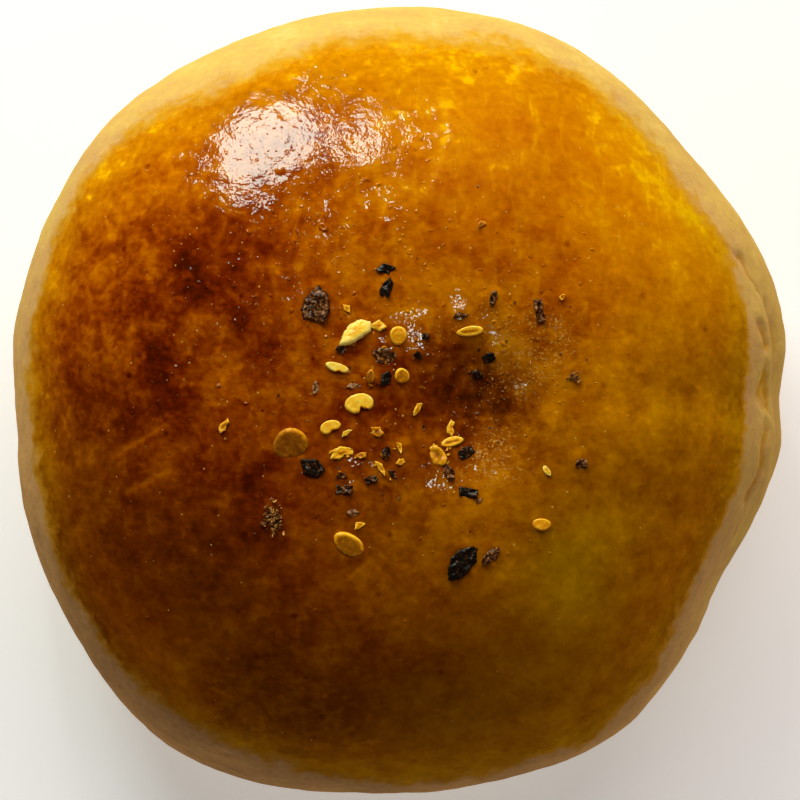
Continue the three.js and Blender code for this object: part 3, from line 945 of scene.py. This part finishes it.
def lens(rings, sides):
    """A closed lens: share of the way out, number along the rim, top or bottom (1 or -1) and triangles."""
    steps = np.arange(1, 2 * rings)
    reach = np.concatenate([[0], np.repeat(1 - np.abs(rings - steps) / rings, sides), [0]])
    face = np.concatenate([[1], np.repeat(np.sign(rings - steps), sides), [-1]])
    rim = np.concatenate([[0], np.tile(np.arange(sides), len(steps)), [0]])
    first, last = np.arange(sides), len(reach) - 1
    after = (first + 1) % sides
    triangles = [np.column_stack([np.zeros(sides, int), 1 + first, 1 + after])]
    for step in range(len(steps) - 1):
        inner = 1 + step * sides
        outer = inner + sides
        triangles.append(np.column_stack([inner + first, outer + first, outer + after]))
        triangles.append(np.column_stack([inner + first, outer + after, inner + after]))
    inner = 1 + (len(steps) - 1) * sides
    triangles.append(np.column_stack([inner + first, np.full(sides, last), inner + after]))
    return reach, rim, face, np.vstack(triangles)


class Heap:
    """Collects things of one kind that lie on the crust, as one mesh with their fields."""

    def __init__(self, surface):
        self.surface = surface
        self.points, self.triangles, self.fields, self.count = [], [], {}, 0

    def lay(self, points, triangles, x, y, turn, rise, lean=(0.0, 0.0), **fields):
        place = place_on(self.surface, x, y, turn, rise, lean)
        self.points.append(points @ place[:3, :3].T + place[:3, 3])
        self.triangles.append(triangles + self.count)
        for name, values in fields.items():
            self.fields.setdefault(name, []).append(np.broadcast_to(values, len(points)))
        self.count += len(points)

    def piece(self, name, material, slot):
        points, triangles = np.vstack(self.points), np.vstack(self.triangles)
        fields = {label: np.concatenate(values) for label, values in self.fields.items()}
        return make_piece(name, points, triangles, material, fields)


def torn_outline(name, per_edge=6):
    """A scrap's outline, its edges torn a little between its corners."""
    tips = np.array(OUTLINES[name]) + rng.normal(0, 0.07, (len(OUTLINES[name]), 2))
    steps = np.arange(per_edge) / per_edge
    edges = [tip + steps[:, None] * (after - tip) for tip, after in zip(tips, np.roll(tips, -1, axis=0))]
    outline = np.vstack(edges)
    return outline + rng.normal(0, 0.025, outline.shape)


def seed_points(length, width, turn, tint, lit_rim_tint, notch):
    """A flat seed with a thin raised rim; painted light makes the rim palest towards +Y, where the lights
    are. One that lies on its edge has a dark seam.
    """
    sides = 48
    reach, rim, face, triangles = lens(10, sides)
    around = rim / sides * 2 * np.pi
    torn = bell(turned(np.degrees(around), NOTCH_TURN), 24)
    ragged = rng.normal(0, 0.25, sides)[rim]
    edge = 1 - notch * torn * (1 + ragged)
    edge += 0.035 * np.cos(2 * around + rng.uniform(0, 6)) + 0.03 * np.cos(3 * around + rng.uniform(0, 6))
    x = 0.5 * length * reach * edge * np.cos(around)
    y = 0.5 * width * reach * edge * np.sin(around)
    plump = 0.36 + 0.07 * bell(reach - 0.86, 0.12)
    z = SEED_THICKNESS * plump * np.sqrt(np.clip(1 - reach**6, 0, 1)) * np.where(face > 0, 1, -0.8)
    points = np.column_stack([x, y, z])
    points[:, 2] += 0.07 * ripple(points + rng.uniform(0, 50, 3), 1.3, octaves=2)
    points[:, 2] += rng.uniform(-0.12, 0.12) * (2 * x / length) ** 2
    # Painted light: the rim takes its lit tint only on the side that faces the lights, towards +Y.
    painted_lit_side = 0.5 + 0.5 * np.cos(around + math.radians(turn - 75))
    shade = tint + (lit_rim_tint - tint) * smooth(0.62, 0.90, reach) * painted_lit_side
    shade = shade + 0.10 * ripple(points + rng.uniform(0, 50, 3), 0.9, octaves=2)
    if notch > 0.1:
        shade = shade - (0.75 + 0.8 * ragged) * torn * smooth(0.3, 0.9, reach)
    if length > SLIT_SEED * width:
        shade = shade - 0.55 * bell(2 * y / width, 0.3) * (1 - smooth(0.45, 0.75, np.abs(2 * x / length)))
    return points, triangles, shade


def scrap_points(length, width, thickness, outline, curl, crumple, crispness=14):
    """A thin torn scrap, curled along its length and crumpled; a low crispness lets its middle swell."""
    reach, rim, face, triangles = lens(8, len(outline))
    x = 0.5 * length * reach * outline[rim, 0]
    y = 0.5 * width * reach * outline[rim, 1]
    sheet = np.column_stack([x, y, np.zeros(len(x))]) + rng.uniform(0, 50, 3)
    z = crumple * (2 * np.abs(ripple(sheet, 1.1, octaves=2)) - 0.5)
    z += 0.35 * crumple * ripple(sheet, 0.4, octaves=2)
    z += curl * (2 * x / length) ** 2
    z += face * 0.5 * thickness * np.sqrt(np.clip(1 - reach**crispness, 0, 1))
    return np.column_stack([x, y, z]), triangles, reach


def make_seeds(surface, material):
    heap = Heap(surface)
    for x, y, length, width, turn, tint, lit_rim_tint, notch, lean in SEEDS:
        points, triangles, shade = seed_points(length, width, turn, tint, lit_rim_tint, notch)
        heap.lay(points, triangles, x, y, turn, SEED_RISE, (lean, rng.uniform(-5, 5)), tint=shade)
    heap.piece("chilli_seeds", material, "chilli_seed")


def make_chips(surface, material):
    heap = Heap(surface)
    for x, y, length, width, turn, tint, name in CHIPS:
        whole_skin = name == "skin"
        if whole_skin:
            shape = (SKIN_THICKNESS, torn_outline(name), 0.0, SKIN_CRUMPLE, SKIN_CRISPNESS)
        else:
            curl = rng.uniform(-0.05, 0.25)
            shape = (CHIP_THICKNESS, torn_outline(name), curl, CHIP_CRUMPLE)
        points, triangles, reach = scrap_points(length, width, *shape)
        lean = SKIN_LEAN if whole_skin else (rng.uniform(-16, 2), rng.uniform(-12, 12))
        paled = tint + EDGE_PALING * (reach - 0.6)
        heap.lay(points, triangles, x, y, turn, CHIP_RISE, lean, tint=paled)
    for x, y, spread, count in SHRED_PLACES:
        for _ in range(count):
            px, py = rng.normal((x, y), spread)
            size = rng.uniform(0.35, 0.95)
            outline = torn_outline(rng.choice(["shred", "shard", "hook"]), per_edge=3)
            points, triangles, _ = scrap_points(size, 0.6 * size, 0.12, outline, 0.05, 0.10)
            turn, lean = rng.uniform(0, 360), rng.uniform(-25, 25, 2)
            heap.lay(points, triangles, px, py, turn, SHRED_RISE, lean, tint=rng.uniform(0.15, 0.75))
    heap.piece("chilli_chips", material, "chilli_seed")


def make_flakes(surface, material):
    heap = Heap(surface)
    for x, y, length, width, turn, shade, name in FLAKES:
        shape = (FLAKE_THICKNESS, torn_outline(name), FLAKE_CURL, FLAKE_CRUMPLE)
        points, triangles, _ = scrap_points(length, width, *shape)
        lean = rng.uniform(-8, 8, 2) * min(1, LONG_FLAKE / length)
        heap.lay(points, triangles, x, y, turn, FLAKE_RISE, lean, tint=shade)
    for x, y, length, width, turn, shade, name in FILMS:
        points, triangles, _ = scrap_points(length, width, SMALL_THICKNESS, torn_outline(name), 0.0, 0.10)
        heap.lay(points, triangles, x, y, turn, FILM_RISE, tint=shade)
    for _ in range(SPECK_COUNT):
        x, y = rng.normal((2, 0), (9, 8))
        size = rng.uniform(0.20, 0.55)
        outline = torn_outline(rng.choice(["block", "shard", "wedge"]), per_edge=3)
        points, triangles, _ = scrap_points(size, 0.7 * size, SMALL_THICKNESS, outline, 0.0, 0.03)
        turn, lean = rng.uniform(0, 360), rng.uniform(-15, 15, 2)
        heap.lay(points, triangles, x, y, turn, SPECK_RISE, lean, tint=rng.uniform(0.1, 0.9))
    heap.piece("chilli_flakes", material, "chilli_flake")


def make_crumbs(surface, material):
    """Heaps of fine torn green and tan crumbs."""
    heap = Heap(surface)
    for x, y, length, width, turn in CRUMBS:
        for _ in range(int(CRUMBS_PER_MM2 * length * width)):
            along, across = rng.normal(0, 0.22, 2) * (length, width)
            angle = math.radians(turn)
            px = x + along * math.cos(angle) - across * math.sin(angle)
            py = y + along * math.sin(angle) + across * math.cos(angle)
            size = rng.uniform(0.20, 0.65)
            outline = torn_outline(rng.choice(["block", "shard", "hook", "shred"]), per_edge=2)
            narrow = rng.uniform(0.3, 0.8) * size
            points, triangles, _ = scrap_points(size, narrow, SMALL_THICKNESS, outline, 0.05, 0.12)
            spin, rise, lean = rng.uniform(0, 360), rng.uniform(0.05, 0.40), rng.uniform(-60, 60, 2)
            heap.lay(points, triangles, px, py, spin, rise, lean, tint=rng.uniform(0, 1))
    heap.piece("herb_crumbs", material, "chilli_flake")


# Bubbles: x, y, spread in x and y, how many, least, usual and largest radius, least and most steepness.
BUBBLE_PLACES = [
    (-13, 26, 8, 7, 150, 0.07, 0.10, 0.28, 0.08, 0.36),
    (-10.5, 36.6, 3.6, 1.5, 10, 0.16, 0.24, 0.42, 0.12, 0.32),
    (-8.0, 21.6, 7.5, 1.8, 14, 0.14, 0.20, 0.40, 0.16, 0.42),
    (-22.0, 27.0, 2.4, 4.0, 8, 0.14, 0.20, 0.34, 0.14, 0.36),
    (-4, 9, 13, 9, 200, 0.07, 0.10, 0.34, 0.08, 0.50),
    (12, 2, 5, 6, 130, 0.07, 0.10, 0.34, 0.08, 0.60),
    (0, 2, 22, 20, 150, 0.07, 0.10, 0.30, 0.08, 0.50),
]
# Larger bubbles, one by one: x, y, radius.
LARGE_BUBBLES = [
    (-8.6, 19.3, 0.55), (-17, 18.8, 0.35), (-11.4, 18.8, 0.35), (-11.7, 17.8, 0.3), (-30.2, -1.2, 0.4),
    (-20.3, 1.6, 0.35), (-17.2, -0.4, 0.3), (-23.5, 14.6, 0.35), (-22.6, 13.2, 0.3), (-18.3, 8.8, 0.35),
    (-26, -6, 0.25), (-3.8, 24.8, 0.4), (-2.4, 24.2, 0.35), (-0.6, 28.6, 0.35), (2.4, 29.6, 0.4),
    (3.2, 27, 0.3),
]
LARGE_STEEPNESS = 0.40
BUBBLES_WITHIN = 0.84 * GIRTH_RADIUS
BURST_SHARE = 0.15


def make_bubbles(surface, material):
    """Tiny bubbles in the wash; some have burst and left a ring."""
    sides = 10
    reach, rim, face, triangles = lens(4, sides)
    around = rim / sides * 2 * np.pi
    heap = Heap(surface)
    bubbles = [(*bubble, LARGE_STEEPNESS) for bubble in LARGE_BUBBLES]
    for x, y, spread_x, spread_y, count, least, usual, largest, flat, steep in BUBBLE_PLACES:
        for _ in range(count):
            px, py = rng.normal((x, y), (spread_x, spread_y))
            if math.hypot(px, py) < BUBBLES_WITHIN:
                radius = rng.triangular(least, usual, largest)
                bubbles.append((px, py, radius, rng.uniform(flat, steep)))
    for x, y, radius, steepness in bubbles:
        burst = rng.random() < BURST_SHARE
        swell = bell(reach - 0.6, 0.3) if burst else np.cos(reach * np.pi / 2) ** 2
        z = np.where(face > 0, steepness * swell, -0.1) * radius * (reach < 1)
        uneven = 1 + 0.25 * np.cos(2 * around + rng.uniform(0, 6)) + 0.12 * np.cos(3 * around)
        out = radius * reach * uneven
        points = np.column_stack([out * np.cos(around), out * np.sin(around), z])
        _, _, fields = surface.drop(x, y)
        heap.lay(points, triangles, x, y, rng.uniform(0, 360), 0.0, **fields)
    heap.piece("wash_bubbles", material, "crust")


# Stage, light and camera, in metres

# The lights: name, azimuth from +X, height above the horizon, distance, width, height, power, and whether
# reflections show it.
LIGHTS = [
    ("lamp", 115, 23.8, 0.65, 0.19, 0.33, 2.7, True),
    ("lamp_edge", 99, 33.5, 0.65, 0.060, 0.18, 0.52, True),
    ("window", 80, 33, 0.90, 0.80, 0.80, 6.5, False),
    ("fill_right", 0, 10, 1.00, 0.90, 0.40, 1.2, False),
    ("fill_left", 180, 10, 1.00, 0.90, 0.40, 1.2, False),
    ("fill_front", 270, 10, 1.00, 0.90, 0.40, 1.5, False),
]
LAMP_COLOUR = (0.86, 0.98, 0.84)
SOFT_COLOUR = (1.0, 0.89, 0.78)
SKY_SHADES = [  # from below the horizon to above it, as the sine of the height
    (-0.5, (0.05, 0.03, 0.006)),
    (0.0, (0.10, 0.055, 0.006)),
    (0.12, (0.07, 0.04, 0.004)),
    (0.4, (0.02, 0.012, 0.002)),
]
STAGE_SHADES = [(0.3, (0.79, 0.79, 0.86)), (0.7, (0.83, 0.83, 0.90))]
STAGE_GRAIN = 60.0
STAGE_GLOW = (1.0, 0.99, 0.97, 1.0)
NEAR_GLOW = 0.35  # of the floor near the bun, and far from it and of the wall
FAR_GLOW = 0.80
GLOW_REACH = (0.1, 0.9)  # from the middle, where the glow goes from one to the other
STAGE_SIDES = 96
FLOOR_RADIUS = 2.0
WALL_SWEEP = 0.6  # radius of the sweep from the floor into the wall
WALL_HEIGHT = 2.5
CAMERA_HEIGHT = 0.340
PICTURE_WIDTH = 97.4 * MM  # of what the picture shows at the girth's height
SENSOR = 36.0


def stage_material():
    """Pale board, lit evenly from behind, for the floor and the wall far round it."""
    material, tree, shader = new_material("stage")
    away = vector_result(tree, "LENGTH", object_place(tree))
    glow = add_node(tree, "ShaderNodeMapRange", {"interpolation_type": "SMOOTHSTEP"}, Value=away)
    plug(tree, glow, From_Min=GLOW_REACH[0], From_Max=GLOW_REACH[1], To_Min=NEAR_GLOW, To_Max=FAR_GLOW)
    plug(
        tree, shader,
        Base_Color=ramp(tree, speckle(tree, STAGE_GRAIN, detail=2), STAGE_SHADES),
        Roughness=0.7,
        Emission_Color=STAGE_GLOW,
        Emission_Strength=glow.outputs["Result"],
    )
    return material


def make_stage():
    """A round pale floor, and a wall that sweeps up from its rim. The wall is seen but lights nothing."""
    material = stage_material()
    turns = np.linspace(0, 2 * np.pi, STAGE_SIDES, endpoint=False)
    bend = np.linspace(0, np.pi / 2, 10)
    reach = np.append(FLOOR_RADIUS + WALL_SWEEP * np.sin(bend), FLOOR_RADIUS + WALL_SWEEP)
    rise = np.append(WALL_SWEEP * (1 - np.cos(bend)), WALL_HEIGHT)
    rim = np.column_stack([np.cos(turns), np.sin(turns), np.zeros(STAGE_SIDES)])
    wall = np.vstack([rim * r + (0, 0, z) for r, z in zip(reach, rise)])
    here = np.arange(STAGE_SIDES)
    after = (here + 1) % STAGE_SIDES
    lower = STAGE_SIDES * np.arange(len(reach) - 1)[:, None]
    upper = lower + STAGE_SIDES
    quads = np.stack([lower + here, lower + after, upper + after, upper + here], 2)
    shapes = {
        "floor": (rim * FLOOR_RADIUS, [here.tolist()]),
        "wall": (wall, quads.reshape(-1, 4).tolist()),
    }
    for name, (points, faces) in shapes.items():
        mesh = bpy.data.meshes.new(name)
        mesh.from_pydata(points.tolist(), [], faces)
        mesh.polygons.foreach_set("use_smooth", [True] * len(faces))
        mesh.materials.append(material)
        board = bpy.data.objects.new(name, mesh)
        board.visible_glossy = False
        board.visible_diffuse = name == "floor"
        bpy.context.scene.collection.objects.link(board)


def make_lights():
    for name, azimuth, elevation, distance, width, height, power, mirrored in LIGHTS:
        data = bpy.data.lights.new(name, "AREA")
        data.shape = "ELLIPSE"
        data.size = width
        data.size_y = height
        data.energy = power
        data.color = LAMP_COLOUR if mirrored else SOFT_COLOUR
        light = bpy.data.objects.new(name, data)
        across, up = math.radians(azimuth), math.radians(elevation)
        out = Vector((math.cos(up) * math.cos(across), math.cos(up) * math.sin(across), math.sin(up)))
        light.location = out * distance + Vector((0, 0, CROWN_HEIGHT * MM))
        light.rotation_euler = out.to_track_quat("Z", "Y").to_euler()
        light.visible_glossy = mirrored
        bpy.context.scene.collection.objects.link(light)


def make_sky():
    """A dim warm surround that is darker straight above, where the camera stands in the light."""
    world = bpy.data.worlds.new("sky")
    bpy.context.scene.world = world
    world.use_nodes = True
    tree = world.node_tree
    direction = add_node(tree, "ShaderNodeTexCoord").outputs["Generated"]
    height = add_node(tree, "ShaderNodeSeparateXYZ", Vector=direction).outputs["Z"]
    place = weighted(tree, (0.5, height), start=0.5)
    shade = ramp(tree, place, [(0.5 + 0.5 * sine, colour) for sine, colour in SKY_SHADES])
    plug(tree, tree.nodes["Background"], Color=shade)


def make_camera():
    data = bpy.data.cameras.new("camera")
    data.sensor_width = SENSOR
    data.lens = SENSOR * (CAMERA_HEIGHT - GIRTH_HEIGHT * MM) / PICTURE_WIDTH
    data.clip_start = 0.01
    camera = bpy.data.objects.new("camera", data)
    camera.location = (0, 0, CAMERA_HEIGHT)
    bpy.context.scene.collection.objects.link(camera)
    bpy.context.scene.camera = camera


make_camera()
make_stage()
make_lights()
make_sky()
bpy.context.scene.view_settings.view_transform = "Standard"

crust_look = crust_material()
surface = make_crust(crust_look)
make_bubbles(surface, crust_look)
seed_look = seed_material()
make_seeds(surface, seed_look)
make_chips(surface, seed_look)
make_flakes(surface, flake_material())
make_crumbs(surface, crumb_material())
